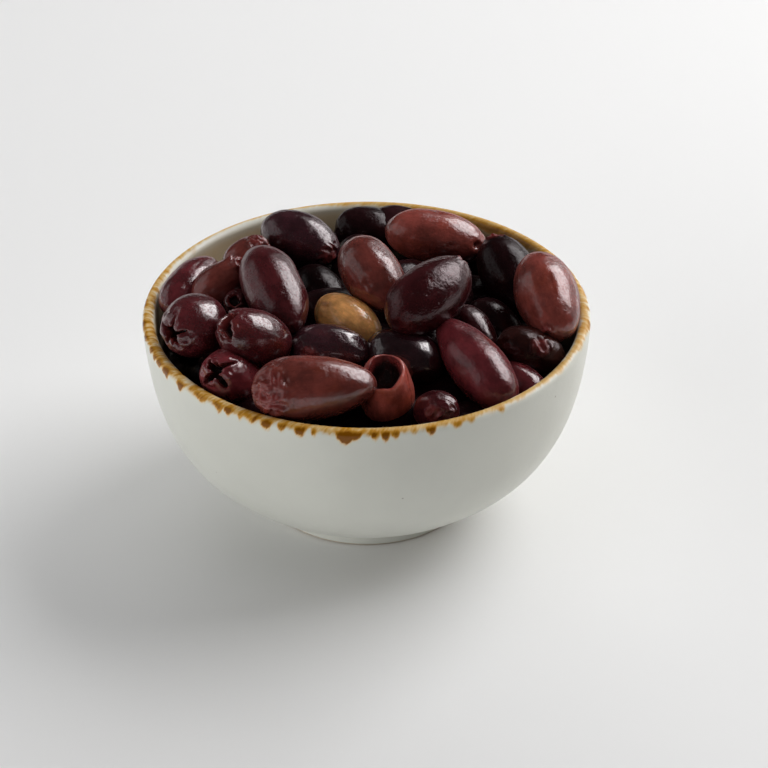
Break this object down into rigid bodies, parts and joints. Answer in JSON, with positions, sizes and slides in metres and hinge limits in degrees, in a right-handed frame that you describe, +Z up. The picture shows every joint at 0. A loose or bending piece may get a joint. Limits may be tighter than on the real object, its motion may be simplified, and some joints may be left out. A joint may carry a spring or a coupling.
{
  "type": "dish of olives",
  "caption": "Small round stoneware bowl with a straight foot ring and a brown-brushed rim, heaped with large dark olives, some of them pitted.",
  "frame": {"origin": "centre of the foot ring's underside, on the surface the bowl stands on", "axes": "+Z up along the bowl's axis; -Y towards the side seen in the usual view; +X to the right of it"},
  "size_m": [0.115, 0.115, 0.0747],
  "materials": {
    "glaze": "glossy warm white glaze with a brushed brown rim",
    "olive_skin": null
  },
  "bodies": {
    "root": {"bowl": "glaze", "olives": "olive_skin"}
  },
  "joints": []
}
